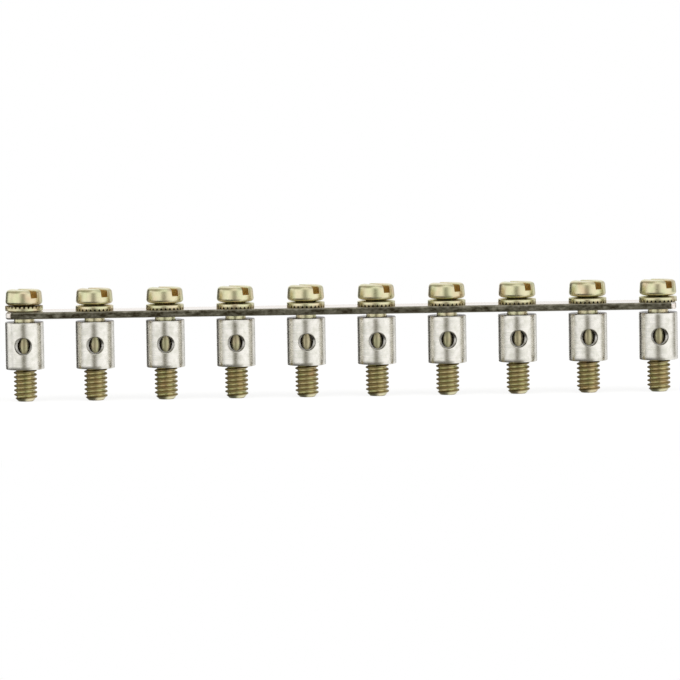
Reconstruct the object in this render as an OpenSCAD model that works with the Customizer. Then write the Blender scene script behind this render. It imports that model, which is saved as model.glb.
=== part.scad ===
// Screwed cross connector for a row of terminals: a flat strip that carries one captive screw
// per pole, each with a toothed washer above the strip and a spacer sleeve below it.
// Millimetres. +X runs along the strip, -Y is the front with the side holes, +Z points to the
// screw heads, and the origin is under the middle of the row, level with the screw tips.

/* [Row] */
// Number of poles
poles = 10; // [2:1:19]
// Distance from one screw axis to the next
pole_pitch = 12; // [8:0.5:20]
// Pole that was put together the other way: washer teeth up, sleeve turned back (0 for none)
odd_pole = 1; // [0:1:19]

/* [Strip] */
// Width of the strip across the row
strip_w = 7; // [5.4:0.1:10]
// Thickness of the strip
strip_t = 1.2; // [0.8:0.1:3]
// Length of strip beyond the axis of each end screw
strip_end = 3; // [2.8:0.1:8]
// Radius of the strip's four corners
strip_corner_r = 0.9; // [0.2:0.1:2.5]

/* [Screw] */
// Outside diameter of the thread
thread_d = 3.95; // [3.4:0.05:4.9]
// Pitch of the thread, which sets the diameter of the rolled blank and so of the plain shank
thread_pitch = 0.75; // [0.5:0.05:0.8]
// Length of thread that stands out below the sleeve
thread_len = 5.5; // [3:0.05:12]
// Diameter of the flat tip
tip_d = 2.5; // [1.5:0.1:3]
// Height of the chamfer at the tip
tip_h = 0.7; // [0.3:0.05:1.5]
// Diameter of the cheese head at its foot, before its lower edge is rounded
head_d = 6.4; // [5.4:0.1:8]
// Height of the head
head_h = 2.55; // [2:0.05:4]
// Lean of the head's side, narrower towards the top (degrees)
head_taper = 5; // [0:0.5:8]
// Rounding of the head's top edge
head_top_r = 0.65; // [0.1:0.05:0.8]
// Rounding of the head's lower edge
head_foot_r = 0.55; // [0.05:0.05:0.6]
// Width of the driver slot
slot_w = 1.3; // [0.8:0.1:1.6]
// Depth of the driver slot
slot_depth = 1.35; // [0.6:0.05:1.6]
// Turn of the driver slot from straight ahead, to the right (degrees)
slot_turn = 38; // [0:1:90]

/* [Washer] */
// Outside diameter of the toothed washer
washer_d = 6.45; // [5.4:0.05:8]
// Height of the washer's rim
washer_rim_h = 0.8; // [0.6:0.05:1.5]
// Rise of the washer's cone from the rim to the hole
washer_rise = 0.1; // [0:0.05:0.3]
// Rounding of the rim on the smooth side
washer_edge_r = 0.15; // [0.05:0.05:0.3]
// Number of teeth
tooth_count = 27; // [12:1:32]
// Width of the gap between two teeth, at the rim
tooth_gap_w = 0.42; // [0.2:0.02:0.5]
// Depth of the gap between two teeth, at the rim
tooth_gap_h = 0.35; // [0.15:0.05:0.5]
// Length of the gap, from the rim towards the hole
tooth_gap_len = 1; // [0.4:0.1:1.2]
// Turn of the first gap from straight ahead, to the right (degrees)
tooth_turn = 3.5; // [0:0.5:13]

/* [Sleeve] */
// Outside diameter of the spacer sleeve
sleeve_d = 6.6; // [5.6:0.1:7.6]
// Length of the sleeve
sleeve_len = 8.05; // [5:0.05:14]
// Chamfer on the sleeve's outer edges
sleeve_chamfer = 0.12; // [0.05:0.01:0.4]
// Diameter of the hole drilled into the sleeve's side
side_hole_d = 2.9; // [1.5:0.1:3.2]
// Point angle of the drill that made the side hole (degrees)
drill_point = 118; // [90:1:140]
// How far short of the bore the drill's full diameter stops
drill_short = 0.06; // [0.04:0.02:0.5]
// Turn of the side hole from straight ahead, to the right (degrees)
sleeve_turn = 2.5; // [-20:0.5:20]

/* [Fits] */
// Play of the thread in the strip's hole, on the diameter
strip_hole_play = 0.4; // [0.1:0.05:0.8]
// Play of the shank in the washer's hole, on the diameter
washer_play = 0.25; // [0.1:0.05:0.3]
// Play of the shank in the sleeve's bore, on the diameter
sleeve_play = 0.25; // [0.1:0.05:0.3]
// End play between the sleeve and the strip
sleeve_gap = 0.65; // [0.1:0.05:1]
// End play between the washer and the head
head_gap = 0.2; // [0.1:0.05:1]

/* [Hidden] */
$fn = 64;

brass_plate = "#6d6a5a";
yellow_zinc = "#c9bb85";
tin_plate = "#d9d8cf";

// How far a cut runs past the surface it opens
cut_over = 1;
// Segments of a rounded edge
edge_segments = 6;
// Ratio of a metric thread's depth, from crest to blank, to its pitch on the diameter
blank_depth = 0.6495;

// A rolled thread grows out of a blank of the thread's mean diameter, so the plain shank is
// thinner than the thread, and the washer and the sleeve can't fall off over it.
shank_d = thread_d - blank_depth * thread_pitch;
strip_hole_d = thread_d + strip_hole_play;
washer_hole_d = shank_d + washer_play;
sleeve_bore_d = shank_d + sleeve_play;
strip_len = (poles - 1) * pole_pitch + 2 * strip_end;
washer_h = washer_rim_h + washer_rise;

// Levels above the screw tips, each piece set on the one below it
sleeve_z = thread_len;
strip_z = sleeve_z + sleeve_len + sleeve_gap;
washer_z = strip_z + strip_t;
head_z = washer_z + washer_h + head_gap;
head_top_z = head_z + head_h;

// Points of an arc about a centre, from one angle to another
function arc(centre, r, from, to) =
    [for (i = [0:edge_segments])
        let (a = from + (to - from) * i / edge_segments)
        centre + r * [cos(a), sin(a)]];

// Centre of a rounding of radius r that touches the head's leaning side at height z
function head_round_centre(r, z) =
    [head_d / 2 - (z - head_z) * tan(head_taper) - r / cos(head_taper), z];

module at_pole(pole) {
    translate([(pole - (poles + 1) / 2) * pole_pitch, 0, 0]) children();
}

// Turns a piece made to face +X so that it faces the front, then to the right by an angle
module facing_front(turn) {
    rotate([0, 0, turn - 90]) children();
}

module rounded_strip_outline() {
    inner_x = strip_len / 2 - strip_corner_r;
    inner_y = strip_w / 2 - strip_corner_r;
    polygon(concat(
        arc([inner_x, inner_y], strip_corner_r, 0, 90),
        arc([-inner_x, inner_y], strip_corner_r, 90, 180),
        arc([-inner_x, -inner_y], strip_corner_r, 180, 270),
        arc([inner_x, -inner_y], strip_corner_r, 270, 360)
    ));
}

// Flat stamped strip with a clearance hole for each screw
module connector_strip() {
    color(brass_plate)
    difference() {
        translate([0, 0, strip_z]) linear_extrude(strip_t) rounded_strip_outline();
        for (pole = [1:poles])
            at_pole(pole)
            translate([0, 0, strip_z - cut_over])
                cylinder(d = strip_hole_d, h = strip_t + 2 * cut_over);
    }
}

// Slotted cheese-head screw: threaded end, thinner plain shank, leaning head with rounded edges.
// The thread is drawn at its outside diameter.
module screw() {
    profile = concat(
        [
            [0, 0],
            [tip_d / 2, 0],
            [thread_d / 2, tip_h],
            [thread_d / 2, thread_len],
            [shank_d / 2, thread_len],
            [shank_d / 2, head_z]
        ],
        arc(head_round_centre(head_foot_r, head_z + head_foot_r), head_foot_r, -90, head_taper),
        arc(head_round_centre(head_top_r, head_top_z - head_top_r), head_top_r, head_taper, 90),
        [[0, head_top_z]]
    );
    color(yellow_zinc)
    difference() {
        rotate_extrude() polygon(profile);
        facing_front(slot_turn)
            translate([-head_d, -slot_w / 2, head_top_z - slot_depth])
            cube([2 * head_d, slot_w, slot_depth + cut_over]);
    }
}

// V-shaped gap in the washer's lower face that deepens towards the rim
module tooth_gap() {
    slope = atan(tooth_gap_h / tooth_gap_len);
    depth = tooth_gap_h + cut_over;
    half_w = depth * tooth_gap_w / 2 / tooth_gap_h;
    translate([washer_d / 2, 0, tooth_gap_h])
    rotate([0, -slope, 0])
    translate([-tooth_gap_len / cos(slope), 0, 0])
    rotate([90, 0, 90])
    linear_extrude(tooth_gap_len / cos(slope) + cut_over)
        polygon([[0, 0], [-half_w, -depth], [half_w, -depth]]);
}

// Slightly conical washer with radial teeth on its lower face, standing on z = 0
module toothed_washer() {
    edge_z = washer_rim_h - washer_edge_r;
    profile = concat(
        [[washer_hole_d / 2, 0], [washer_d / 2, 0]],
        arc([washer_d / 2 - washer_edge_r, edge_z], washer_edge_r, 0, 90),
        [[washer_hole_d / 2, washer_h]]
    );
    color(yellow_zinc)
    difference() {
        rotate_extrude() polygon(profile);
        for (i = [0:tooth_count - 1])
            facing_front(tooth_turn + i * 360 / tooth_count) tooth_gap();
    }
}

// Washer in its place on the strip, turned over on the odd pole
module washer(pole) {
    translate([0, 0, washer_z])
        if (pole == odd_pole)
            translate([0, 0, washer_h]) rotate([180, 0, 0]) toothed_washer();
        else
            toothed_washer();
}

// Drill for the side hole: its full diameter stops just short of the sleeve's bore, so its
// conical point leaves a narrower window in the bore
module side_drill() {
    shoulder = sleeve_bore_d / 2 + drill_short;
    point = shoulder - side_hole_d / 2 / tan(drill_point / 2);
    outside = sleeve_d / 2 + cut_over;
    rotate([0, 90, 0])
    rotate_extrude()
        polygon([[0, point], [side_hole_d / 2, shoulder], [side_hole_d / 2, outside], [0, outside]]);
}

// Turned spacer sleeve that stands on the end of the thread and keeps the screw captive
module sleeve(pole) {
    bore = sleeve_bore_d / 2;
    wall = sleeve_d / 2;
    profile = [
        [bore, 0],
        [wall - sleeve_chamfer, 0],
        [wall, sleeve_chamfer],
        [wall, sleeve_len - sleeve_chamfer],
        [wall - sleeve_chamfer, sleeve_len],
        [bore, sleeve_len]
    ];
    color(tin_plate)
    translate([0, 0, sleeve_z])
    difference() {
        rotate_extrude() polygon(profile);
        translate([0, 0, sleeve_len / 2])
            facing_front(pole == odd_pole ? -sleeve_turn : sleeve_turn)
            side_drill();
    }
}

connector_strip();
for (pole = [1:poles]) {
    at_pole(pole) screw();
    at_pole(pole) washer(pole);
    at_pole(pole) sleeve(pole);
}
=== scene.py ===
# %% [markdown]
# # A ten-pole cross connector for screw terminals
#
# The real object is a plated copper strip that bridges ten screw terminals. At each pole it carries a
# captive slotted screw, with a toothed washer above the strip and a turned spacer sleeve below it.
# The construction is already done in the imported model. This lesson loads that model as a fixed frame,
# then gives every piece the finer form and the finish that a plain solid lacks.

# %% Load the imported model
import math

import bmesh
import bpy
import numpy as np
from mathutils import Matrix, Quaternion, Vector


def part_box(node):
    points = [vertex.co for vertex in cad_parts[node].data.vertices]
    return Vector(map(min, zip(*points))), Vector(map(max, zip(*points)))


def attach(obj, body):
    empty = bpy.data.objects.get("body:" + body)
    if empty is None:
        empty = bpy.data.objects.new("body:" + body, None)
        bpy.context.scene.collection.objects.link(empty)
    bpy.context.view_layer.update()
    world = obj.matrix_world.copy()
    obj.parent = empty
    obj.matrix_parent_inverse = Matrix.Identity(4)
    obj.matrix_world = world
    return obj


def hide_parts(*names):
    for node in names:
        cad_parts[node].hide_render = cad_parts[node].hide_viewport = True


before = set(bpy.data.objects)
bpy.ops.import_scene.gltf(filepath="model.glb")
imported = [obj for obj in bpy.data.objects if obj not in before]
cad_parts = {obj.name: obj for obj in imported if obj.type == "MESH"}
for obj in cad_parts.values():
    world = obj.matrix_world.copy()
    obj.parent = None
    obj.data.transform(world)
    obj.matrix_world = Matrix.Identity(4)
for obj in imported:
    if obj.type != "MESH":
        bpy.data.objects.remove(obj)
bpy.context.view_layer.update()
scene = bpy.context.scene

# %% [markdown]
# ## Sizes
#
# Blender works in metres, while a part this small is easier to read in millimetres. So every size of the
# part is in millimetres, and one factor turns it into metres where a point is made. Places and outside sizes
# are read from the frame's own boxes, so that the looks can't drift away from the construction.

# %% Read the main sizes from the frame
MM = 0.001
POLES = range(1, 11)


def box_mm(node):
    """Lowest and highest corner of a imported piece, in millimetres."""
    return [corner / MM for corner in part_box(node)]


strip_low, strip_high = box_mm("connector_strip")
screw_high = box_mm("screw_2")[1]
washer_low, washer_high = box_mm("washer_2")
sleeve_low, sleeve_high = box_mm("sleeve_2")
pole_x = {pole: sum(corner.x for corner in box_mm(f"screw_{pole}")) / 2 for pole in POLES}
print("pole pitch:", round(pole_x[2] - pole_x[1], 3), "mm, height:", round(screw_high.z, 3), "mm")

# %% [markdown]
# ## Colours and nodes
#
# A colour picked from a photograph is an sRGB value, while a shader reckons in linear light, so one
# function turns a hex colour into the linear numbers that the sockets take. A second one adds a node:
# plain settings go to its properties, and its inputs take either a value or another node's output.

# %% Helpers for colours and nodes
def linear(hex_colour):
    """The linear RGBA of an sRGB colour such as #e6dcae."""
    channels = [int(hex_colour[i:i + 2], 16) / 255 for i in (1, 3, 5)]
    return [c / 12.92 if c <= 0.04045 else ((c + 0.055) / 1.055) ** 2.4 for c in channels] + [1.0]


def add_node(tree, kind, inputs, **settings):
    """Adds a node with its settings; an input is a value, or an output that is linked to it."""
    node = tree.nodes.new(kind)
    for name, value in settings.items():
        setattr(node, name, value)
    for socket, value in inputs.items():
        if isinstance(value, bpy.types.NodeSocket):
            tree.links.new(value, node.inputs[socket])
        else:
            node.inputs[socket].default_value = value
    return node


def new_metal(name):
    """A bare metal material: its tree, its shader, and the coordinates that stay with the piece."""
    material = bpy.data.materials.new(name)
    material.use_nodes = True
    tree = material.node_tree
    shader = tree.nodes["Principled BSDF"]
    shader.inputs["Metallic"].default_value = 1.0
    place_on_piece = add_node(tree, "ShaderNodeTexCoord", {}).outputs["Object"]
    return material, tree, shader, place_on_piece


print("straw yellow in linear light:", [round(c, 3) for c in linear("#e6dcae")[:3]])

# %% [markdown]
# ## Yellow passivated zinc
#
# The screws and washers are steel with a thin bright zinc plate, dipped in a chromate bath that leaves a
# film of yellow. The film's thickness wanders, so the straw colour shifts to green and to rose over a
# millimetre or two. A dull brownish olive is painted shade: it darkens the thread's crests and the flanks
# above them, the neck under the head, the shank inside the sleeve and the washers' lower sides, where
# little light falls. On the rough sawn faces of the slot the film turns a rusty orange. One could paint
# this in a texture, but noise in the piece's own coordinates needs no unwrapping. Where the shade is
# painted and which faces are sawn is known when the mesh is made, so the mesh stores both.

# %% Yellow passivated zinc on steel
FILM_PATCH = 1.7 * MM
BLUSH_PATCH = 2.3 * MM
PLATE_GRAIN = 0.35 * MM
# Slice of the four-dimensional noise, so that the rose patches don't follow the green ones
BLUSH_SLICE = 4.0
# Roughness added where the painted shade is strongest
SHADE_DULLS = 0.1

zinc, tree, shader, spot = new_metal("yellow_passivated_zinc_on_steel")
film_noise = add_node(tree, "ShaderNodeTexNoise", {"Vector": spot, "Scale": 1 / FILM_PATCH, "Detail": 2.0})
film_share = add_node(tree, "ShaderNodeMapRange",
                      {"Value": film_noise.outputs["Fac"], "From Min": 0.38, "From Max": 0.62})
straw = add_node(tree, "ShaderNodeMix", {"Factor": film_share.outputs["Result"],
                                         "A": linear("#ece3be"), "B": linear("#e2e2b8")},
                 data_type="RGBA")
blush = add_node(tree, "ShaderNodeTexNoise",
                 {"Vector": spot, "W": BLUSH_SLICE, "Scale": 1 / BLUSH_PATCH, "Detail": 1.0},
                 noise_dimensions="4D")
blush_share = add_node(tree, "ShaderNodeMapRange",
                       {"Value": blush.outputs["Fac"], "From Min": 0.52, "From Max": 0.75, "To Max": 0.6})
rosy = add_node(tree, "ShaderNodeMix", {"Factor": blush_share.outputs["Result"],
                                        "A": straw.outputs["Result"], "B": linear("#e6c8a6")},
                data_type="RGBA")
# The recess attribute paints shade as a dark olive: on the thread, under the head and in the washers' gaps
painted_shade_node = add_node(tree, "ShaderNodeAttribute", {}, attribute_name="recess")
olive_shade = add_node(tree, "ShaderNodeMix", {"Factor": painted_shade_node.outputs["Fac"],
                                         "A": rosy.outputs["Result"], "B": linear("#7c6222")},
                 data_type="RGBA")
sawn_face = add_node(tree, "ShaderNodeAttribute", {}, attribute_name="sawn")
rusty = add_node(tree, "ShaderNodeMix", {"Factor": sawn_face.outputs["Fac"],
                                         "A": olive_shade.outputs["Result"], "B": linear("#cfae6e")},
                 data_type="RGBA")
tree.links.new(rusty.outputs["Result"], shader.inputs["Base Color"])
grain = add_node(tree, "ShaderNodeTexNoise", {"Vector": spot, "Scale": 1 / PLATE_GRAIN, "Detail": 3.0})
gloss = add_node(tree, "ShaderNodeMapRange",
                 {"Value": grain.outputs["Fac"], "From Min": 0.3, "From Max": 0.7,
                  "To Min": 0.26, "To Max": 0.36})
dulled = add_node(tree, "ShaderNodeMath",
                  {0: painted_shade_node.outputs["Fac"], 1: SHADE_DULLS, 2: gloss.outputs["Result"]},
                  operation="MULTIPLY_ADD")
tree.links.new(dulled.outputs[0], shader.inputs["Roughness"])
relief = add_node(tree, "ShaderNodeBump", {"Height": grain.outputs["Fac"], "Strength": 0.25,
                                           "Distance": 0.02 * MM})
tree.links.new(relief.outputs["Normal"], shader.inputs["Normal"])
print("made", zinc.name, "with", len(tree.nodes), "nodes")

# %% [markdown]
# ## Satin tin on turned brass
#
# The sleeves are cut from brass bar on a lathe and plated with tin. Tin is nearly white and lies satin
# rather than bright, so reflections spread, and the tool's feed marks still show through it as faint rings.
# A real feed of about 0.1 mm is finer than a pixel here, so the rings are drawn three times as coarse.
# Stretching one noise along the turning direction gives rings that start and stop, as real ones do. In the
# bore, the side hole and on the ends, where little light reaches, shade is painted: an attribute of the
# mesh's faces, nought on the outside and one in the bore, leads over to a brown that is nearly black.

# %% Satin tin plate on turned brass
FEED_MARK = 0.3 * MM
FEED_RUN = 9.0 * MM
TIN_CLOUD = 0.9 * MM

tin, tree, shader, spot = new_metal("satin_tin_plate_on_turned_brass")
clouds = add_node(tree, "ShaderNodeTexNoise", {"Vector": spot, "Scale": 1 / TIN_CLOUD, "Detail": 2.0})
cloud_share = add_node(tree, "ShaderNodeMapRange",
                       {"Value": clouds.outputs["Fac"], "From Min": 0.4, "From Max": 0.68})
tin_white = add_node(tree, "ShaderNodeMix", {"Factor": cloud_share.outputs["Result"],
                                             "A": linear("#f5f2ea"), "B": linear("#e2e0d5")},
                     data_type="RGBA")
# The recess attribute paints shade in the bore, the side hole and on the ends, as a nearly black brown
bore_depth = add_node(tree, "ShaderNodeAttribute", {}, attribute_name="recess")
shaded_tin = add_node(tree, "ShaderNodeMix", {"Factor": bore_depth.outputs["Fac"],
                                        "A": tin_white.outputs["Result"], "B": linear("#1c1610")},
                data_type="RGBA")
tree.links.new(shaded_tin.outputs["Result"], shader.inputs["Base Color"])
stretch = add_node(tree, "ShaderNodeMapping",
                   {"Vector": spot, "Scale": (1 / FEED_RUN, 1 / FEED_RUN, 1 / FEED_MARK)})
feed_rings = add_node(tree, "ShaderNodeTexNoise", {"Vector": stretch.outputs["Vector"], "Scale": 1.0,
                                                   "Detail": 2.0})
satin = add_node(tree, "ShaderNodeMapRange",
                 {"Value": feed_rings.outputs["Fac"], "From Min": 0.3, "From Max": 0.7,
                  "To Min": 0.23, "To Max": 0.31})
tree.links.new(satin.outputs["Result"], shader.inputs["Roughness"])
cloud_relief = add_node(tree, "ShaderNodeBump", {"Height": clouds.outputs["Fac"], "Strength": 0.08,
                                                 "Distance": 0.02 * MM})
ring_relief = add_node(tree, "ShaderNodeBump", {"Height": feed_rings.outputs["Fac"], "Strength": 0.02,
                                                "Distance": 0.01 * MM,
                                                "Normal": cloud_relief.outputs["Normal"]})
tree.links.new(ring_relief.outputs["Normal"], shader.inputs["Normal"])
print("made", tin.name, "with", len(tree.nodes), "nodes")

# %% [markdown]
# ## Tinned copper, bright faces and dull edges
#
# The strip is cut from rolled flat copper with a tin plate. Its broad faces and its trimmed ends are bright
# and keep the mill's long streaks under the tin, with a warm hint of copper. The long edges were rolled last
# and are dull: the tin is thin there, and it has gone grey in blotches with dark scale between them, a
# millimetre or so long and drawn out along the edge. The rounding above and below each of them is painted
# paler, a painted highlight of the light that it catches, which an attribute of the mesh marks. That calls
# for two materials.

# %% Tin plate on rolled copper
MILL_STREAK = 0.5 * MM
MILL_RUN = 14.0 * MM

rolled, tree, shader, spot = new_metal("tin_plate_on_rolled_copper")
stretch = add_node(tree, "ShaderNodeMapping",
                   {"Vector": spot, "Scale": (1 / MILL_RUN, 1 / MILL_STREAK, 1 / MILL_STREAK)})
streaks = add_node(tree, "ShaderNodeTexNoise", {"Vector": stretch.outputs["Vector"], "Scale": 1.0,
                                                "Detail": 3.0})
warm_share = add_node(tree, "ShaderNodeMapRange",
                      {"Value": streaks.outputs["Fac"], "From Min": 0.4, "From Max": 0.7})
warm_tin = add_node(tree, "ShaderNodeMix", {"Factor": warm_share.outputs["Result"],
                                            "A": linear("#f3efe8"), "B": linear("#ecdccf")},
                    data_type="RGBA")
tree.links.new(warm_tin.outputs["Result"], shader.inputs["Base Color"])
mill_gloss = add_node(tree, "ShaderNodeMapRange",
                      {"Value": streaks.outputs["Fac"], "From Min": 0.3, "From Max": 0.7,
                       "To Min": 0.16, "To Max": 0.28})
tree.links.new(mill_gloss.outputs["Result"], shader.inputs["Roughness"])
mill_relief = add_node(tree, "ShaderNodeBump", {"Height": streaks.outputs["Fac"], "Strength": 0.2,
                                                "Distance": 0.01 * MM})
tree.links.new(mill_relief.outputs["Normal"], shader.inputs["Normal"])
print("made", rolled.name, "with", len(tree.nodes), "nodes")

# %% Dull rolled edge of the strip
SCALE_RUN = 2.6 * MM
BLOTCH = 0.8 * MM
PIT = 0.36 * MM
# Coordinates along the edge are squeezed to this share, which draws the blotches out
DRAWN_OUT = 0.55

dull_edge, tree, shader, spot = new_metal("dull_rolled_edge_of_tinned_copper")
drawn = add_node(tree, "ShaderNodeMapping", {"Vector": spot, "Scale": (DRAWN_OUT, 1.0, 1.0)})
along = drawn.outputs["Vector"]
patches = add_node(tree, "ShaderNodeTexNoise", {"Vector": along, "Scale": 1 / SCALE_RUN, "Detail": 2.0})
patch_share = add_node(tree, "ShaderNodeMapRange",
                       {"Value": patches.outputs["Fac"], "From Min": 0.35, "From Max": 0.65})
patch_tone = add_node(tree, "ShaderNodeMix", {"Factor": patch_share.outputs["Result"],
                                              "A": linear("#706c5c"), "B": linear("#8a8776")},
                      data_type="RGBA")
blotches = add_node(tree, "ShaderNodeTexNoise", {"Vector": along, "Scale": 1 / BLOTCH, "Detail": 3.0,
                                                 "Roughness": 0.65})
scale_share = add_node(tree, "ShaderNodeMapRange",
                       {"Value": blotches.outputs["Fac"], "From Min": 0.52, "From Max": 0.36})
scaled = add_node(tree, "ShaderNodeMix", {"Factor": scale_share.outputs["Result"],
                                          "A": patch_tone.outputs["Result"], "B": linear("#463f2e")},
                  data_type="RGBA")
grey_share = add_node(tree, "ShaderNodeMapRange",
                      {"Value": blotches.outputs["Fac"], "From Min": 0.54, "From Max": 0.68})
edge_tone = add_node(tree, "ShaderNodeMix", {"Factor": grey_share.outputs["Result"],
                                             "A": scaled.outputs["Result"], "B": linear("#a8a494")},
                     data_type="RGBA")
# A pale painted highlight on the edge's roundings, read from a mesh attribute
rounding_highlight_mark = add_node(tree, "ShaderNodeAttribute", {}, attribute_name="rounding_highlight")
highlighted_rounding = add_node(tree, "ShaderNodeMix", {"Factor": rounding_highlight_mark.outputs["Fac"],
                                         "A": edge_tone.outputs["Result"], "B": linear("#b0ab9a")},
                 data_type="RGBA")
tree.links.new(highlighted_rounding.outputs["Result"], shader.inputs["Base Color"])
pits = add_node(tree, "ShaderNodeTexNoise", {"Vector": along, "Scale": 1 / PIT, "Detail": 2.0})
edge_gloss = add_node(tree, "ShaderNodeMapRange",
                      {"Value": pits.outputs["Fac"], "From Min": 0.3, "From Max": 0.7,
                       "To Min": 0.34, "To Max": 0.5})
tree.links.new(edge_gloss.outputs["Result"], shader.inputs["Roughness"])
blotch_relief = add_node(tree, "ShaderNodeBump", {"Height": blotches.outputs["Fac"], "Strength": 0.2,
                                                  "Distance": 0.05 * MM})
pit_relief = add_node(tree, "ShaderNodeBump", {"Height": pits.outputs["Fac"], "Strength": 0.2,
                                               "Distance": 0.03 * MM,
                                               "Normal": blotch_relief.outputs["Normal"]})
tree.links.new(pit_relief.outputs["Normal"], shader.inputs["Normal"])
print("made", dull_edge.name, "with", len(tree.nodes), "nodes")

# %% [markdown]
# ## Faces between rows of points
#
# Every piece here was turned, rolled or stamped, so its surface is naturally a grid: rows of points that
# follow the tool, with four-sided faces between them. A primitive with a Screw or Bevel modifier would come
# close, but rows written out one by one put the points exactly where an edge is rounded. Sharp edges are then
# marked by angle, and weighted normals keep flat faces flat next to the small roundings.

# %% Helpers that make a mesh
# Points closer than this are welded
WELD = 0.001 * MM


def point(bm, radius, turn, z):
    """A new point of a turned form, by its distance from the axis, its angle and its height in mm."""
    return bm.verts.new((radius * math.cos(turn) * MM, radius * math.sin(turn) * MM, z * MM))


def lay_faces(bm, rows, closed):
    """Joins each row with the next by four-sided faces; closed joins a row's last point to its first."""
    for near, far in zip(rows, rows[1:]):
        for i in range(len(near) - (0 if closed else 1)):
            j = (i + 1) % len(near)
            bm.faces.new((near[i], near[j], far[j], far[i]))


def finish_mesh(bm, name, sharp_angle):
    """Welds the points, turns the faces outwards, and shades smooth up to an angle in degrees."""
    bmesh.ops.remove_doubles(bm, verts=bm.verts, dist=WELD)
    bmesh.ops.recalc_face_normals(bm, faces=bm.faces)
    mesh = bpy.data.meshes.new(name)
    bm.to_mesh(mesh)
    bm.free()
    mesh.shade_smooth()
    mesh.set_sharp_from_angle(angle=math.radians(sharp_angle))
    return mesh


def set_attribute(mesh, name, domain, values):
    """Stores a number on each point or face of a mesh, for a material to read."""
    mesh.attributes.new(name, "FLOAT", domain).data.foreach_set("value", np.asarray(values, np.float32))


print("points weld within", WELD / MM, "mm")

# %% Helpers that put a piece in its place
def add_object(name, mesh):
    """Links a new object for a mesh into the scene."""
    piece = bpy.data.objects.new(name, mesh)
    scene.collection.objects.link(piece)
    return piece


def stand_in(name, mesh, node, body):
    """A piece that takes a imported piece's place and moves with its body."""
    piece = add_object(name, mesh)
    weighted = piece.modifiers.new("flat_faces_stay_flat", "WEIGHTED_NORMAL")
    weighted.keep_sharp = True
    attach(piece, body)
    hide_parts(node)
    return piece


def at_pole(template, pole, seat=Matrix()):
    """A copy of a template mesh, seated and moved to a pole, so that its noise differs from pole to pole."""
    mesh = template.copy()
    mesh.transform(Matrix.Translation((pole_x[pole] * MM, 0, 0)) @ seat)
    return mesh


def facing_front(turn):
    """Angle of something that faces the front and is then turned to the right by so many degrees."""
    return math.radians(turn - 90)


print("front is at", round(math.degrees(facing_front(0))), "degrees")

# %% [markdown]
# ## The screws: a rolled thread
#
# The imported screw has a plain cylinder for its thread, at the outside diameter. The real thread is rolled:
# dies press a V groove into a thinner blank. Wrapping a Screw modifier round a profile is one way to make a
# helix, but its ends are hard to close. Here each row of points follows the helix itself, at a fixed share
# of the pitch, and all rows are held between the tip and the sleeve, so both ends come out as clean rings.
# After one turn a row meets the row one pitch higher, which closes the seam.

# %% Thread and tip
THREAD_PITCH = 0.75
THREAD_R = 1.975
ROOT_R = 1.53
TIP_R = 1.25
TIP_CONE_H = 0.7
# The thread ends just short of the sleeve that stands on it
THREAD_TOP = sleeve_low.z - 0.02
COLUMNS = 96
# Share of the pitch and share of the depth: a rounded crest, a straight flank, a rounded root and back
FLANK = [(0.0, 0.0), (0.1, 0.02), (0.16, 0.1), (0.4, 0.88), (0.45, 0.97), (0.5, 1.0)]
THREAD_PROFILE = FLANK + [(1 - share, depth) for share, depth in FLANK[-2:0:-1]]


def thread_radius(turns):
    """Radius of the thread where the helix has made so many turns past a crest."""
    shares, depths = zip(*THREAD_PROFILE, (1.0, 0.0))
    return THREAD_R - (THREAD_R - ROOT_R) * float(np.interp(turns % 1.0, shares, depths))


def tip_cone(z):
    """Radius of the chamfer at the tip, which is wider than the thread further up."""
    return TIP_R + (THREAD_R - TIP_R) * z / TIP_CONE_H


bm = bmesh.new()
rows = []
for turn in range(-1, math.ceil(THREAD_TOP / THREAD_PITCH) + 1):
    for share, _ in THREAD_PROFILE:
        row = []
        for column in range(COLUMNS):
            around = column / COLUMNS
            z = min(max((turn + share + around) * THREAD_PITCH, 0.0), THREAD_TOP)
            radius = min(thread_radius(z / THREAD_PITCH - around), tip_cone(z))
            row.append(point(bm, radius, around * math.tau, z))
        rows.append(row)
lay_faces(bm, rows, closed=False)
lay_faces(bm, [[row[-1] for row in rows[:-len(THREAD_PROFILE)]],
               [row[0] for row in rows[len(THREAD_PROFILE):]]], closed=False)
bmesh.ops.remove_doubles(bm, verts=bm.verts, dist=WELD)
print("thread:", len(bm.faces), "faces over", round(THREAD_TOP / THREAD_PITCH, 2), "turns")

# %% [markdown]
# ## The screws: shank, head and slot
#
# The head of a cheese-head screw is cold-formed: its side leans in a little towards a rounded top edge. Its
# outline is a list of points with small arcs, swept round the axis from the thread's last ring. The slot is
# sawn afterwards on the real screw, and a Boolean does the same here, followed by a small bevel, because no
# sawn edge is left knife-sharp once it has been through the plating barrel.

# %% Shank and head
SHANK_R = 1.7314
HEAD_H = 2.55
HEAD_TAPER = math.radians(5)
HEAD_TOP_ROUND = 0.65
HEAD_FOOT_ROUND = 0.55
NECK_ROUND = 0.28
ROUND_STEPS = 6
# A row of points this far inside each end of the sleeve holds the shank's shading
HOLD = 0.3
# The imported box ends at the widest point, which the foot's rounding leaves a little inside the full radius
head_r = screw_high.y + HEAD_FOOT_ROUND * (math.tan(HEAD_TAPER) + 1 / math.cos(HEAD_TAPER) - 1)
head_top = screw_high.z
head_foot = head_top - HEAD_H


def rounding(centre, r, start, end):
    """Points of an arc about a centre, from one angle to another in degrees."""
    angles = [math.radians(start + (end - start) * i / ROUND_STEPS) for i in range(ROUND_STEPS + 1)]
    return [(centre[0] + r * math.cos(a), centre[1] + r * math.sin(a)) for a in angles]


def head_round_centre(r, z):
    """Centre of a rounding that touches the head's leaning side at a height."""
    return head_r - (z - head_foot) * math.tan(HEAD_TAPER) - r / math.cos(HEAD_TAPER), z


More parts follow.
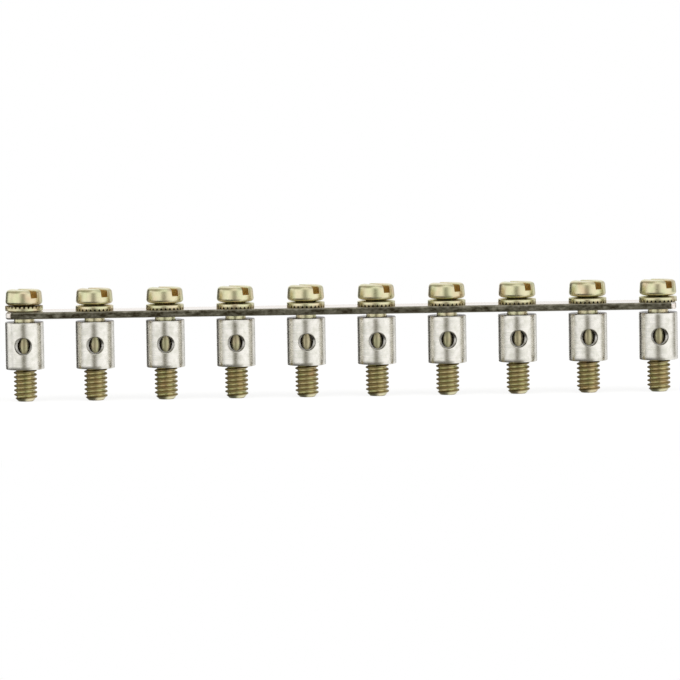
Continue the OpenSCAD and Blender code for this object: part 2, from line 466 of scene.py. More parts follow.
lean = math.degrees(HEAD_TAPER)
shank_rows = (THREAD_TOP, THREAD_TOP + HOLD, sleeve_high.z - HOLD, sleeve_high.z, strip_high.z)
outline = [(SHANK_R, z) for z in shank_rows]
outline += rounding((SHANK_R + NECK_ROUND, head_foot - NECK_ROUND), NECK_ROUND, 180, 90)
foot_centre = head_round_centre(HEAD_FOOT_ROUND, head_foot + HEAD_FOOT_ROUND)
top_centre = head_round_centre(HEAD_TOP_ROUND, head_top - HEAD_TOP_ROUND)
outline += rounding(foot_centre, HEAD_FOOT_ROUND, -90, lean) + rounding(top_centre, HEAD_TOP_ROUND, lean, 90)

open_points = {v for edge in bm.edges if edge.is_boundary for v in edge.verts}
by_angle = sorted(open_points, key=lambda v: math.atan2(v.co.y, v.co.x) % math.tau)
tip_ring = [v for v in by_angle if v.co.z < THREAD_TOP * MM / 2]
thread_end = [v for v in by_angle if v.co.z > THREAD_TOP * MM / 2]
start = math.atan2(thread_end[0].co.y, thread_end[0].co.x)
turns = [start + column / COLUMNS * math.tau for column in range(COLUMNS)]
rings = [thread_end] + [[point(bm, r, turn, z) for turn in turns] for r, z in outline]
lay_faces(bm, rings, closed=True)
bm.faces.new(rings[-1])
bm.faces.new(tip_ring)
blank = finish_mesh(bm, "screw_blank", 40)
print("screw before its slot is sawn:", len(blank.polygons), "faces, tip ring", len(tip_ring), "points")

# %% Saw the slot and break its edges
SLOT_W = 1.3
SLOT_DEPTH = 1.35
SLOT_TURN = facing_front(38)
SLOT_EDGE = 0.07
# Drivers wipe the walls of the slot nearly clean down to this depth
SAWN_FROM = 0.22
# How far a point, or the middle of a face, may lie off a surface and still count as on it
TOUCH, SLACK = 0.002, 0.005
# Edges of the slot that are sharper than this are broken
RIM_ANGLE = math.radians(30)
slot_floor = head_top - SLOT_DEPTH

bm = bmesh.new()
bmesh.ops.create_cube(bm, size=1.0)
saw_size = Matrix.Diagonal((4 * head_r * MM, SLOT_W * MM, 2 * SLOT_DEPTH * MM, 1))
bm.transform(Matrix.Translation((0, 0, head_top * MM)) @ Matrix.Rotation(SLOT_TURN, 4, "Z") @ saw_size)
saw = add_object("slot_saw", finish_mesh(bm, "slot_saw", 40))
sawn = add_object("sawn_screw", blank)
cut = sawn.modifiers.new("sawn_slot", "BOOLEAN")
cut.operation = "DIFFERENCE"
cut.solver = "EXACT"
cut.object = saw
bm = bmesh.new()
bm.from_mesh(bpy.data.meshes.new_from_object(sawn.evaluated_get(bpy.context.evaluated_depsgraph_get())))
bpy.data.objects.remove(sawn)
bpy.data.objects.remove(saw)


def beside_slot(co):
    """Distance of a point from the slot's middle plane, in mm."""
    return abs(co.x * math.sin(SLOT_TURN) - co.y * math.cos(SLOT_TURN)) / MM


bmesh.ops.remove_doubles(bm, verts=bm.verts, dist=WELD)
on_wall = {v for v in bm.verts
           if abs(beside_slot(v.co) - SLOT_W / 2) < TOUCH and v.co.z > (slot_floor - TOUCH) * MM}
rim = [edge for edge in bm.edges
       if all(v in on_wall for v in edge.verts) and edge.calc_face_angle(0) > RIM_ANGLE
       and max(v.co.z for v in edge.verts) > (slot_floor + TOUCH) * MM]
bmesh.ops.bevel(bm, geom=rim, offset=SLOT_EDGE * MM, segments=2, profile=0.5, affect="EDGES")
walls = [face for face in bm.faces
         if beside_slot(face.calc_center_median()) < SLOT_W / 2 + SLACK
         and face.calc_center_median().z > (slot_floor + 2 * SLACK) * MM]
wall_edges = list({edge for face in walls for edge in face.edges})
wall_points = list({v for face in walls for v in face.verts})
bmesh.ops.bisect_plane(bm, geom=walls + wall_edges + wall_points, dist=WELD,
                       plane_co=(0, 0, (head_top - SAWN_FROM) * MM), plane_no=(0, 0, 1))
screw_form = finish_mesh(bm, "screw_form", 40)
print("slot:", len(rim), "edges broken, screw now has", len(screw_form.polygons), "faces")

# %% [markdown]
# The recess attribute, which paints shade, is worked out from each point's place. The shade is strongest on
# the thread's crests and just above them, on the flanks that face up, and hardly there at its roots. The
# shank inside the sleeve has a little of it, and the neck under the head has more. The sawn attribute
# belongs to whole faces, those of the slot, so that it ends at their edges. Every screw is the same
# template, moved to its pole.

# %% Mark the recesses and place ten screws
# Painted shade on the thread's roots and crests, on the shank in the sleeve and on the neck
ROOT_SHADE, CREST_SHADE, BORE_SHADE, NECK_SHADE = 0.04, 0.9, 0.23, 0.42
SAWN_FILM, WIPED_FILM = 0.6, 0.15
# How far above the crest the painted shade is darkest, as a share of the pitch, and how fast it fades from
# there
SHADE_LIFT, SHADE_FALL = 0.1, 1.5
x, y, z = (np.array([v.co for v in screw_form.vertices]) / MM).T
radius = np.hypot(x, y)
past_crest = z / THREAD_PITCH - np.arctan2(y, x) / math.tau
near_crest = 0.5 + 0.5 * np.cos((past_crest - SHADE_LIFT) * math.tau)
thread_shade = ROOT_SHADE + (CREST_SHADE - ROOT_SHADE) * near_crest ** SHADE_FALL
shade_share = np.where(z < THREAD_TOP + TOUCH, thread_shade, 0)
shade_share = np.where((z > THREAD_TOP + TOUCH) & (z < sleeve_high.z - TOUCH), BORE_SHADE, shade_share)
on_neck = (z > washer_high.z) & (z < head_foot + TOUCH) & (radius < SHANK_R + NECK_ROUND + TOUCH)
shade_share = np.where(on_neck, NECK_SHADE, shade_share)
set_attribute(screw_form, "recess", "POINT", shade_share)
in_slot = [beside_slot(face.center) < SLOT_W / 2 + SLACK and face.center.z > (slot_floor - 2 * SLACK) * MM
           for face in screw_form.polygons]
wiped = [face.center.z > (head_top - SAWN_FROM) * MM for face in screw_form.polygons]
set_attribute(screw_form, "sawn", "FACE", np.where(in_slot, np.where(wiped, WIPED_FILM, SAWN_FILM), 0))
screw_form.materials.clear()
screw_form.materials.append(zinc)
for pole in POLES:
    stand_in(f"slotted_screw_{pole}", at_pole(screw_form, pole), f"screw_{pole}",
             f"captive_screw_{pole}")
print("placed", len(POLES), "screws of", len(screw_form.polygons), "faces")

# %% [markdown]
# ## The toothed washers
#
# Each washer is stamped from spring steel and slightly dished. Radial gaps are pressed into one side and get
# deeper towards the rim, which leaves the small teeth that bite into the strip. An Array round a circle
# would work, but then teeth have to be welded. Columns of points that crowd at each gap's sides give the
# same form in one closed grid: every column is a closed outline, and its lower side lifts inside a gap.

# %% Outline of the washer across a tooth and its gap
WASHER_HOLE_R = 1.8564
WASHER_RIM_H = 0.8
WASHER_ROUND = 0.15
TOOTH_COUNT = 27
TOOTH_TURN = 3.5
GAP_W = 0.42
GAP_H = 0.35
GAP_LEN = 1.0
BROKEN_EDGE = 0.04
# Share of a gap's width that is left at its inner end, and how square the gap is across
GAP_NARROWS, GAP_SQUARE = 0.4, 2.2
# Radii of the rows next to the hole on the lower face and across the upper one, and the rows along a gap
LOWER_R, UPPER_R, GAP_ROWS = 1.89, (2.5, 2.2, 1.9), 8
HOLE_EDGE_ABOVE, HOLE_EDGE_BELOW = 0.06, 0.04
# Height up to which shade is painted on the washer's lower side and teeth, and from which the rim is unshaded
SHADE_TO, UNSHADED_FROM = 0.38, 0.44
washer_r = washer_high.y
washer_h = washer_high.z - washer_low.z
# Places of the columns across one tooth and its gap, as shares of the tooth spacing from the gap's middle
COLUMN_SHARES = (-0.5, -0.38, -0.315, -0.285, -0.22, -0.14, 0.0, 0.14, 0.22, 0.285, 0.315, 0.38)


def gap_lift(r, share):
    """How far a gap lifts the washer's lower side, at a radius and a share of the tooth spacing."""
    deep = min(max((r - washer_r + GAP_LEN) / GAP_LEN, 0.0), 1.0)
    half_w = GAP_W / 2 * (GAP_NARROWS + (1 - GAP_NARROWS) * deep)
    across = share * math.tau * r / TOOTH_COUNT / half_w
    return GAP_H * deep * max(1 - abs(across) ** GAP_SQUARE, 0.0)


def washer_outline(share):
    """Closed outline of the washer's cross-section at one column."""
    edge_lift = gap_lift(washer_r, share)
    radii = [LOWER_R, *np.linspace(washer_r - GAP_LEN, washer_r - BROKEN_EDGE, GAP_ROWS)]
    lower = [(r, gap_lift(r, share)) for r in radii]
    foot = edge_lift + BROKEN_EDGE * (0.5 if edge_lift else 1.0)
    wall = [(washer_r, foot), (washer_r, SHADE_TO), (washer_r, UNSHADED_FROM)]
    edge = rounding((washer_r - WASHER_ROUND, WASHER_RIM_H - WASHER_ROUND), WASHER_ROUND, 0, 90)
    rise = (washer_h - WASHER_RIM_H) / (washer_r - WASHER_ROUND - WASHER_HOLE_R)
    upper = [(r, washer_h - (r - WASHER_HOLE_R) * rise) for r in UPPER_R]
    hole = [(WASHER_HOLE_R, z) for z in (washer_h - HOLE_EDGE_ABOVE, washer_h / 2, HOLE_EDGE_BELOW)]
    return lower + wall + edge + upper + hole


print("washer outline:", len(washer_outline(0.0)), "points, a gap is", round(gap_lift(washer_r, 0.0), 2),
      "mm deep at the rim")

# %% One toothed washer
# Painted shade on the washer's lower side and in its gaps, and on the lower rim of the teeth
GAP_SHADE, TOOTH_SHADE = 0.77, 0.35

bm = bmesh.new()
rows = []
for tooth in range(TOOTH_COUNT):
    for share in COLUMN_SHARES:
        turn = facing_front(TOOTH_TURN) + (tooth + share) * math.tau / TOOTH_COUNT
        rows.append([point(bm, r, turn, z) for r, z in washer_outline(share)])
lay_faces(bm, rows + rows[:1], closed=True)
washer_form = finish_mesh(bm, "washer_form", 50)
lift = np.array([v.co.z / MM for v in washer_form.vertices])
reach = np.array([math.hypot(v.co.x, v.co.y) / MM for v in washer_form.vertices])
shade_share = np.where(lift > SHADE_TO + SLACK, 0, np.where(reach < washer_r - SLACK, GAP_SHADE, TOOTH_SHADE))
set_attribute(washer_form, "recess", "POINT", shade_share)
washer_form.materials.append(zinc)
print("washer:", len(washer_form.polygons), "faces,", TOOTH_COUNT, "teeth")

# %% [markdown]
# Nine washers lie teeth down. The one on the first pole was put on the other way up, so its teeth show
# as a dark scalloped row right under the screw head.

# %% Place ten washers
FLIPPED_POLE = 1
on_strip = Matrix.Translation((0, 0, washer_low.z * MM))
turned_over = Matrix.Translation((0, 0, washer_high.z * MM)) @ Matrix.Rotation(math.pi, 4, "X")
for pole in POLES:
    mesh = at_pole(washer_form, pole, turned_over if pole == FLIPPED_POLE else on_strip)
    stand_in(f"toothed_washer_{pole}", mesh, f"washer_{pole}", "strip_row")
print("placed", len(POLES), "washers on the strip at", round(washer_low.z, 2), "mm")

# %% [markdown]
# ## The spacer sleeves
#
# A sleeve is a turned tube with a hole drilled into its side. The drill's cone stops in the bore, so it
# leaves an oval window in which the screw's shank shows. A Boolean would cut this, but it leaves long thin
# faces on the wall, and those spoil the reflections right where the eye looks. So the wall is laid out
# round the window: rings of points grow from the hole's rim to a rectangle, and a plain grid does the rest.

# %% Wall of a sleeve with a window in it
# Half the angle that the rectangle round the window takes up, its columns and rows, and the columns beside it
PATCH_TURN = math.radians(62)
PATCH_WIDE, PATCH_HIGH, PLAIN_WIDE = 20, 20, 44
# Places of the rings of points between the window's rim and the rectangle
WINDOW_RINGS = (0.04, 0.1, 0.2, 0.35, 0.55, 0.78, 1.0)


def patch_border(low, high):
    """Angle and height of the points round the rectangle that a window sits in, anticlockwise."""
    sides = [(-PATCH_TURN, low, PATCH_TURN, low, PATCH_WIDE),
             (PATCH_TURN, low, PATCH_TURN, high, PATCH_HIGH),
             (PATCH_TURN, high, -PATCH_TURN, high, PATCH_WIDE),
             (-PATCH_TURN, high, -PATCH_TURN, low, PATCH_HIGH)]
    return [(turn_a + (turn_b - turn_a) * i / count, z_a + (z_b - z_a) * i / count)
            for turn_a, z_a, turn_b, z_b, count in sides for i in range(count)]


def pierced_wall(bm, radius, low, high, window):
    """A round wall laid out about a window's rim; returns the rings of points at its two ends."""
    rings = [window]
    for share in WINDOW_RINGS:
        ring = []
        for v, (turn, z) in zip(window, patch_border(low, high)):
            rim_turn, rim_z = math.atan2(v.co.y, v.co.x), v.co.z / MM
            ring.append(point(bm, radius, rim_turn + (turn - rim_turn) * share, rim_z + (z - rim_z) * share))
        rings.append(ring)
    lay_faces(bm, rings, closed=True)
    border = rings[-1]
    right = border[PATCH_WIDE:PATCH_WIDE + PATCH_HIGH + 1]
    left = [border[0]] + border[:2 * PATCH_WIDE + PATCH_HIGH - 1:-1]
    columns = [right]
    for i in range(1, PLAIN_WIDE):
        turn = PATCH_TURN + (math.tau - 2 * PATCH_TURN) * i / PLAIN_WIDE
        columns.append([point(bm, radius, turn, v.co.z / MM) for v in right])
    columns.append(left)
    lay_faces(bm, columns, closed=False)
    low_ring = border[:PATCH_WIDE] + [column[0] for column in columns[:-1]]
    top_side = border[PATCH_WIDE + PATCH_HIGH:2 * PATCH_WIDE + PATCH_HIGH + 1]
    high_ring = top_side[:0:-1] + [column[-1] for column in columns[:-1]]
    return low_ring, high_ring


print("window patch:", 2 * (PATCH_WIDE + PATCH_HIGH), "points round,",
      PATCH_WIDE + PLAIN_WIDE, "columns in all")

# %% Rows of points round the drill's axis
SLEEVE_BORE_R = 1.8564
SIDE_HOLE_R = 1.45
DRILL_HALF_POINT = math.radians(59)
# The drill's full diameter stops just short of the bore
DRILL_SHOULDER = SLEEVE_BORE_R + 0.06
# Steps in which the place where the drill's cone meets the bore is closed in on, and the share of each
CLOSING_STEPS, CLOSING_SHARE = 60, 0.3
# The darkest painted shade on the cone begins so far from the drill's axis, or at this share of the way from
# the hole's wall to the window where that is further out
SHADED_CONE_R, SHADED_CONE_SHARE = 1.02, 0.7
sleeve_r = sleeve_high.y
sleeve_len = sleeve_high.z - sleeve_low.z
hole_z = sleeve_len / 2


def window_row(bm, beta, reach, wall):
    """Points round the drill's axis, at a distance from it, on a round wall or at a depth of their own."""
    row = []
    for b in beta:
        r, depth = reach(b)
        aside, up = r * math.cos(b), r * math.sin(b)
        ahead = math.sqrt(wall ** 2 - aside ** 2) - depth if wall else depth
        row.append(bm.verts.new((ahead * MM, aside * MM, (hole_z + up) * MM)))
    return row


def cone_in_bore(b):
    """Distance from the drill's axis at which its cone meets the bore, in one direction round the axis."""
    r = SIDE_HOLE_R
    for _ in range(CLOSING_STEPS):
        ahead = math.sqrt(SLEEVE_BORE_R ** 2 - (r * math.cos(b)) ** 2)
        r += CLOSING_SHARE * (SIDE_HOLE_R - (DRILL_SHOULDER - ahead) * math.tan(DRILL_HALF_POINT) - r)
    return r


def shaded_cone(b):
    """Distance from the drill's axis and along it at which the darkest painted shade on its cone begins."""
    r = max(SHADED_CONE_R, SIDE_HOLE_R + SHADED_CONE_SHARE * (cone_in_bore(b) - SIDE_HOLE_R))
    return r, DRILL_SHOULDER - (SIDE_HOLE_R - r) / math.tan(DRILL_HALF_POINT)


print("window in the bore:", [round(2 * cone_in_bore(b), 2) for b in (0, math.pi / 2)], "mm wide and high")

# %% One sleeve with its drilled side hole
END_EDGE = 0.12
DEBURR = 0.08
# A broken edge has a middle row, pushed out so that it lies at this share from both sides
EDGE_MIDDLE = 0.3
# Height above the drill's shoulder of a row on the drilled wall that keeps its faces short
WALL_ROW = 0.75
wall_low, wall_high = END_EDGE, sleeve_len - END_EDGE

bm = bmesh.new()
beta = [math.atan2(z - hole_z, sleeve_r * turn) for turn, z in patch_border(wall_low, wall_high)]
# Rows from the deburred rim inwards: how far they reach, and the round wall that they lie on, if any
inwards_rows = [(lambda b: (SIDE_HOLE_R + DEBURR, 0.0), sleeve_r),
                (lambda b: (SIDE_HOLE_R + EDGE_MIDDLE * DEBURR, EDGE_MIDDLE * DEBURR), sleeve_r),
                (lambda b: (SIDE_HOLE_R, DEBURR), sleeve_r),
                (lambda b: (SIDE_HOLE_R, DRILL_SHOULDER + WALL_ROW), None),
                (lambda b: (SIDE_HOLE_R, DRILL_SHOULDER), None),
                (shaded_cone, None),
                (lambda b: (cone_in_bore(b), 0.0), SLEEVE_BORE_R)]
tunnel = [window_row(bm, beta, reach, wall) for reach, wall in inwards_rows]
lay_faces(bm, tunnel, closed=True)
bore_low, bore_high = pierced_wall(bm, SLEEVE_BORE_R, wall_low, wall_high, tunnel[-1])
outer_low, outer_high = pierced_wall(bm, sleeve_r, wall_low, wall_high, tunnel[0])
ends = [(outer_low, bore_low, 0.0, 1), (outer_high, bore_high, sleeve_len, -1)]
for outer_ring, bore_ring, z, inwards in ends:
    turns = [math.atan2(v.co.y, v.co.x) for v in outer_ring]
    rings = [outer_ring]
    for r, lift in ((sleeve_r - EDGE_MIDDLE * END_EDGE, EDGE_MIDDLE * END_EDGE), (sleeve_r - END_EDGE, 0.0),
                    (SLEEVE_BORE_R + END_EDGE, 0.0)):
        rings.append([point(bm, r, turn, z + inwards * lift) for turn in turns])
    lay_faces(bm, rings + [bore_ring], closed=True)
sleeve_form = finish_mesh(bm, "sleeve_form", 35)
print("sleeve:", len(sleeve_form.polygons), "faces")

# %% [markdown]
# Shade is painted where little light reaches: in the bore, on the wall of the drilled hole and on the cone
# close to the window. The rest of the cone and the two ends get a little less of it. As with the slot, whole
# faces carry the attribute, so the painted shade ends at their edges.

# %% Mark where shade is painted
# Share of painted shade on the drilled wall, on the cone that the drill's point left, on its darkest part and
# on the ends
WALL_SHADE, CONE_SHADE, DEEP_SHADE, END_SHADE = 0.95, 0.4, 1.0, 0.85
# A face is level when its normal points up or down at least so far
LEVEL_NORMAL = 0.9
x, y, z = (np.array([face.center for face in sleeve_form.polygons]) / MM).T
level = np.abs([face.normal.z for face in sleeve_form.polygons]) > LEVEL_NORMAL
from_drill = np.where(x > 0, np.hypot(y, z - hole_z), np.inf)
sleeve_shade = np.where(from_drill < SIDE_HOLE_R + 2 * SLACK, WALL_SHADE, 0)
sleeve_shade = np.where(from_drill < SIDE_HOLE_R - 2 * SLACK, CONE_SHADE, sleeve_shade)
shaded_cone_r = np.array([shaded_cone(b)[0] for b in np.arctan2(z - hole_z, y)])
sleeve_shade = np.where(from_drill < shaded_cone_r - SLACK, DEEP_SHADE, sleeve_shade)
sleeve_shade = np.where(level & ((z < wall_low) | (z > wall_high)), END_SHADE, sleeve_shade)
sleeve_shade = np.where(np.hypot(x, y) < SLEEVE_BORE_R + SLACK, DEEP_SHADE, sleeve_shade)
set_attribute(sleeve_form, "recess", "FACE", sleeve_shade)
sleeve_form.materials.append(tin)
print("oil on", int((sleeve_shade > 0).sum()), "of", len(sleeve_shade), "faces of a sleeve")

# %% Place ten sleeves
SLEEVE_TURN = 2.5
for pole in POLES:
    turn = -SLEEVE_TURN if pole == FLIPPED_POLE else SLEEVE_TURN
    on_thread = Matrix.Translation((0, 0, sleeve_low.z * MM)) @ Matrix.Rotation(facing_front(turn), 4, "Z")
    stand_in(f"spacer_sleeve_{pole}", at_pole(sleeve_form, pole, on_thread), f"sleeve_{pole}", "strip_row")
print("placed", len(POLES), "sleeves from", round(sleeve_low.z, 2), "to", round(sleeve_high.z, 2), "mm")

# %% [markdown]
# ## The strip
#
# The strip is cut from flat stock with rolled, rounded edges, punched, and trimmed at its corners. Its
# outline and its holes are loops of points, so each loop gets the same few rows over its edge, and the two
# flat faces between outline and holes are simply filled. A cube with a Bevel and ten Booleans would do too,
# but its faces are harder to tell apart. The rounding matters: it catches the light from above as the thin
# pale line along the top of the dull edge.

# %% Strip with ten punched holes
STRIP_CORNER_R = 0.9
STRIP_HOLE_R = 2.175
CORNER_STEPS = 8
HOLE_STEPS = 64
EDGE_ROUND = 0.3
# How strongly the painted highlight pales the upper and the lower rounding
HIGHLIGHT_ABOVE, HIGHLIGHT_BELOW = 0.55, 1.0
strip_t = strip_high.z - strip_low.z
EDGE_ROWS = [(EDGE_ROUND + r, EDGE_ROUND + z) for r, z in rounding((0, 0), EDGE_ROUND, 270, 180)]
EDGE_ROWS += [(r, strip_t - z) for r, z in reversed(EDGE_ROWS)]
half_len = strip_high.x
half_w = strip_high.y


def outline_row(bm, inset, z):
    """A loop of the strip's rounded outline, drawn in by an inset."""
    row = []
    for sx, sy, quarter in ((1, 1, 0), (-1, 1, 1), (-1, -1, 2), (1, -1, 3)):
        for i in range(CORNER_STEPS + 1):
            a = (quarter + i / CORNER_STEPS) * math.pi / 2
            r = STRIP_CORNER_R - inset
            row.append(bm.verts.new(((sx * (half_len - STRIP_CORNER_R) + r * math.cos(a)) * MM,
                                     (sy * (half_w - STRIP_CORNER_R) + r * math.sin(a)) * MM,
                                     (strip_low.z + z) * MM)))
    return row


def hole_row(bm, pole, inset, z):
    """A loop of a punched hole, widened by an inset."""
    return [bm.verts.new(((pole_x[pole] + (STRIP_HOLE_R + inset) * math.cos(a)) * MM,
                          (STRIP_HOLE_R + inset) * math.sin(a) * MM, (strip_low.z + z) * MM))
            for a in (i / HOLE_STEPS * math.tau for i in range(HOLE_STEPS))]


bm = bmesh.new()
loops = [[outline_row(bm, inset, z) for inset, z in EDGE_ROWS]]
loops += [[hole_row(bm, pole, inset, z) for inset, z in EDGE_ROWS] for pole in POLES]
for rows in loops:
    lay_faces(bm, rows, closed=True)
side_faces = len(bm.faces)
for end in (0, -1):
    level = {v for rows in loops for v in rows[end]}
    edges = [e for e in bm.edges if e.is_boundary and all(v in level for v in e.verts)]
    bmesh.ops.triangle_fill(bm, edges=edges, use_beauty=True, use_dissolve=False)
for i, face in enumerate(bm.faces):
    at_end = abs(face.calc_center_median().x) > (half_len - STRIP_CORNER_R) * MM
    face.material_index = 1 if i < side_faces and not at_end else 0
strip_form = finish_mesh(bm, "strip_form", 35)
# Painted highlight on the roundings, palest next to the flat faces
height = np.array([v.co.z / MM for v in strip_form.vertices]) - strip_low.z
rounding_highlight = np.clip(1 - np.minimum(height, strip_t - height) / EDGE_ROUND, 0, 1)
set_attribute(strip_form, "rounding_highlight", "POINT",
              rounding_highlight * np.where(height > strip_t / 2, HIGHLIGHT_ABOVE, HIGHLIGHT_BELOW))
strip_form.materials.append(rolled)
strip_form.materials.append(dull_edge)
stand_in("rolled_strip", strip_form, "connector_strip", "strip_row")
print("strip:", len(strip_form.polygons), "faces,", round(2 * half_len, 1), "by", round(2 * half_w, 1), "mm")

# %% [markdown]
# ## A light tent
#
# Polished metal shows its surroundings more than itself. A photographer hangs white cloth round such a part
# and leaves a dark gap for the lens: the gap becomes the dark stripe down each sleeve, and a darker end of
# the tent becomes the shaded limb on the left. An image of a studio could light the part too, but a few
# numbers are easier to change. The world plays the tent here. Its wall, its roof and its table are three
# ramps round the horizon, blended by height. The roof is bright in front and behind and dimmer at both sides.
# The table is dark in front and on the left, and bright on the right. Rays from the camera see plain white
# behind the part instead.

# %% Brightness of the tent's cloth
# Bearing in degrees from the front, to the right, and how bright the cloth is there
TENT_WALL = ((-180, 1.0), (-160, 1.0), (-154, 0.5), (-150, 0.06), (-123, 0.04), (-116, 1.05), (-90, 1.05),
             (-83, 0.7), (-77, 0.85), (-70, 1.08), (-27, 1.08), (-21, 0.8), (-15, 0.48), (-8, 0.18), (0, 0.2),
             (6, 0.45), (11, 0.65), (16, 0.88), (24, 1.05), (84, 1.1), (92, 0.85), (104, 0.35), (117, 0.3),
             (122, 0.7), (126, 1.0), (134, 0.95), (142, 0.6), (152, 0.5), (162, 0.7), (180, 1.0))
TENT_ROOF = ((-180, 0.95), (-158, 0.9), (-140, 0.47), (-90, 0.33), (-45, 0.45), (-20, 0.95), (20, 0.95),
             (45, 0.6), (65, 0.5), (140, 0.5), (158, 0.9), (180, 0.95))
TENT_TABLE = ((-180, 0.5), (-150, 0.15), (-130, 0.08), (-60, 0.08), (-15, 0.16), (15, 0.18), (32, 0.4),
              (45, 1.0), (140, 1.0), (180, 0.5))
# Sines of the height angles between which the wall gives way to the roof and to the table
ROOF_FROM, ROOF_TO = 0.2, 0.55
TABLE_FROM, TABLE_TO = -0.15, -0.3
# The dark parts of a room are rarely neutral: here they lean to a warm olive
DUSK = (1.0, 0.96, 0.82)
DUSK_BELOW = 0.5
print("the tent's wall has", len(TENT_WALL), "stops round the horizon")

# %% World that acts as the tent
world = bpy.data.worlds.new("light_tent")
scene.world = world
world.use_nodes = True
tree = world.node_tree
direction = add_node(tree, "ShaderNodeTexCoord", {}).outputs["Generated"]
axes = add_node(tree, "ShaderNodeSeparateXYZ", {"Vector": direction}).outputs
ahead = add_node(tree, "ShaderNodeMath", {0: axes["Y"], 1: -1.0}, operation="MULTIPLY")
bearing = add_node(tree, "ShaderNodeMath", {0: axes["X"], 1: ahead.outputs[0]}, operation="ARCTAN2")
round_share = add_node(tree, "ShaderNodeMapRange",
                       {"Value": bearing.outputs[0], "From Min": -math.pi, "From Max": math.pi})
cloths = []
for stops in (TENT_WALL, TENT_ROOF, TENT_TABLE):
    ramp = add_node(tree, "ShaderNodeValToRGB", {"Fac": round_share.outputs["Result"]})
    elements = ramp.color_ramp.elements
    for degrees, _ in stops[1:-1]:
        elements.new((degrees + 180) / 360)
    for element, (_, bright) in zip(elements, stops):
        element.color = [bright * (tone if bright < DUSK_BELOW else 1.0) for tone in DUSK] + [1.0]
    cloths.append(ramp.outputs["Color"])
cloth = cloths[0]
for low, high, further in ((ROOF_FROM, ROOF_TO, cloths[1]), (TABLE_FROM, TABLE_TO, cloths[2])):
    share = add_node(tree, "ShaderNodeMapRange", {"Value": axes["Z"], "From Min": low, "From Max": high},
                     interpolation_type="SMOOTHSTEP")
    blend = add_node(tree, "ShaderNodeMix", {"Factor": share.outputs["Result"], "A": cloth, "B": further},
                     data_type="RGBA")
    cloth = blend.outputs["Result"]
ray = add_node(tree, "ShaderNodeLightPath", {}).outputs
straight = add_node(tree, "ShaderNodeMath", {0: ray["Is Camera Ray"], 1: ray["Is Transmission Ray"]},
                    operation="MAXIMUM")
seen = add_node(tree, "ShaderNodeMix", {"Factor": straight.outputs[0], "A": cloth, "B": linear("#ffffff")},
                data_type="RGBA")
tree.links.new(seen.outputs["Result"], tree.nodes["Background"].inputs["Color"])
print("made", world.name, "with", len(tree.nodes), "nodes")

# %% [markdown]
# ## Floor and lamps
#
# The floor is white paper. Close to the part it is a real diffuse surface that keeps the soft shadow under
# the screws, and further off it fades into the plain white of the background, so no horizon shows. Glossy
# rays pass through it, because the tent's cloth hangs below the part as well. Two large soft lamps from
# above the left and the right fill the shadow. They are kept out of reflections, which belong to the tent.

# %% White paper floor
# The room is much larger than the part, so its sizes are in metres
FLOOR_HALF = 4.0
FADE_FROM, FADE_TO = 0.02, 0.11
# How white the paper is by itself close to the part, and how much slower it fades along the row
NEAR_WHITE = 0.85
ALONG_ROW = 0.45

paper = bpy.data.materials.new("white_paper")
paper.use_nodes = True
tree = paper.node_tree
tree.nodes.remove(tree.nodes["Principled BSDF"])
spot = add_node(tree, "ShaderNodeTexCoord", {}).outputs["Object"]
squeezed = add_node(tree, "ShaderNodeVectorMath", {0: spot, 1: (ALONG_ROW, 1.0, 1.0)}, operation="MULTIPLY")
away = add_node(tree, "ShaderNodeVectorMath", {0: squeezed.outputs["Vector"]}, operation="LENGTH")
fade = add_node(tree, "ShaderNodeMapRange", {"Value": away.outputs["Value"], "From Min": FADE_FROM,
                                             "From Max": FADE_TO, "To Min": NEAR_WHITE},
                interpolation_type="SMOOTHSTEP")
ray = add_node(tree, "ShaderNodeLightPath", {}).outputs
far_white = add_node(tree, "ShaderNodeMath", {0: fade.outputs["Result"], 1: ray["Is Camera Ray"]},
                     operation="MULTIPLY")
matt = add_node(tree, "ShaderNodeBsdfDiffuse", {"Color": linear("#f8f8f7")})
white = add_node(tree, "ShaderNodeEmission", {"Color": linear("#ffffff"), "Strength": 1.0})
sheet = add_node(tree, "ShaderNodeMixShader", {"Fac": far_white.outputs[0], 1: matt.outputs["BSDF"],
                                               2: white.outputs["Emission"]})
tree.links.new(sheet.outputs["Shader"], tree.nodes["Material Output"].inputs["Surface"])

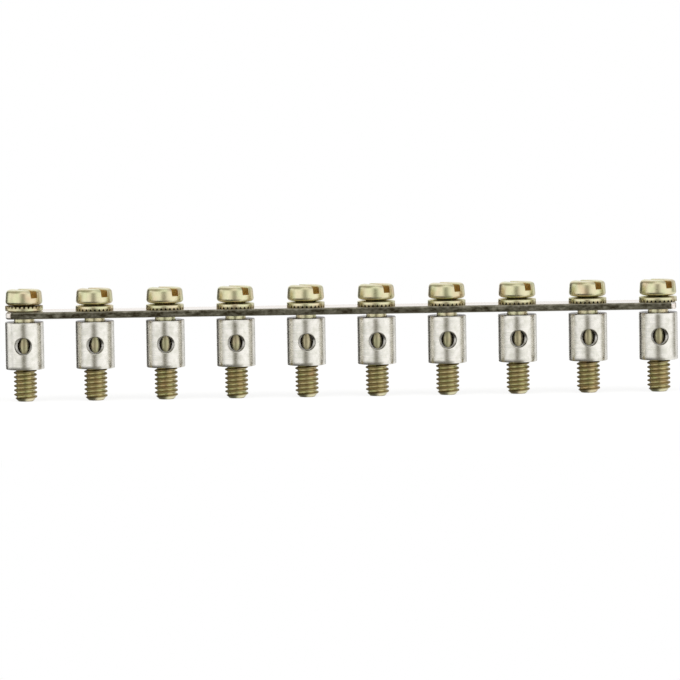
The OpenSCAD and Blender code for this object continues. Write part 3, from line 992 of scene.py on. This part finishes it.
bm = bmesh.new()
bmesh.ops.create_grid(bm, x_segments=1, y_segments=1, size=FLOOR_HALF)
floor = add_object("paper_floor", finish_mesh(bm, "paper_floor", 30))
floor.data.materials.append(paper)
floor.visible_glossy = False
print("floor:", 2 * FLOOR_HALF, "m square, fades to white from", FADE_FROM, "to", FADE_TO, "m")

# %% Two soft lamps
LAMP_AWAY = 0.9
LAMP_SIZE = 0.7
LAMP_WATTS = 4.2
LAMP_HEIGHT = math.radians(55)
for side, lamp_bearing in (("left", -55), ("right", 55)):
    lamp = bpy.data.objects.new(f"soft_lamp_{side}", bpy.data.lights.new(f"soft_lamp_{side}", "AREA"))
    lamp.data.size = LAMP_SIZE
    lamp.data.energy = LAMP_WATTS
    turn = facing_front(lamp_bearing)
    reach = Vector((math.cos(turn) * math.cos(LAMP_HEIGHT), math.sin(turn) * math.cos(LAMP_HEIGHT),
                    math.sin(LAMP_HEIGHT)))
    lamp.location = reach * LAMP_AWAY
    lamp.rotation_mode = "QUATERNION"
    lamp.rotation_quaternion = reach.to_track_quat("Z", "Y")
    lamp.visible_glossy = False
    scene.collection.objects.link(lamp)
print("two lamps of", LAMP_WATTS, "W,", LAMP_AWAY, "m away")

# %% [markdown]
# ## The camera
#
# The photograph shows the row edge-on and almost level, with equal spacing from end to end, so it was taken
# with a long lens from far away. The row also climbs slightly to the right, which is the camera's roll.
# Distance follows from the lens and from the width that the frame has to show at the part.

# %% Camera at the photograph's viewing angle
LENS = 350.0
SENSOR = 36.0
FRAME_WIDTH = 115.9
TARGET = Vector((-0.26, 0.0, 9.585)) * MM
ELEVATION = math.radians(4.7)
ROLL = math.radians(-0.91)

camera = bpy.data.objects.new("camera", bpy.data.cameras.new("camera"))
camera.data.lens = LENS
camera.data.sensor_width = SENSOR
distance = FRAME_WIDTH * MM * LENS / SENSOR
back = Vector((0.0, -math.cos(ELEVATION), math.sin(ELEVATION)))
camera.location = TARGET + back * distance
camera.rotation_mode = "QUATERNION"
camera.rotation_quaternion = (-back).to_track_quat("-Z", "Y") @ Quaternion((0.0, 0.0, 1.0), ROLL)
scene.collection.objects.link(camera)
scene.camera = camera
scene.view_settings.view_transform = "Standard"
print("camera is", round(distance, 3), "m away")
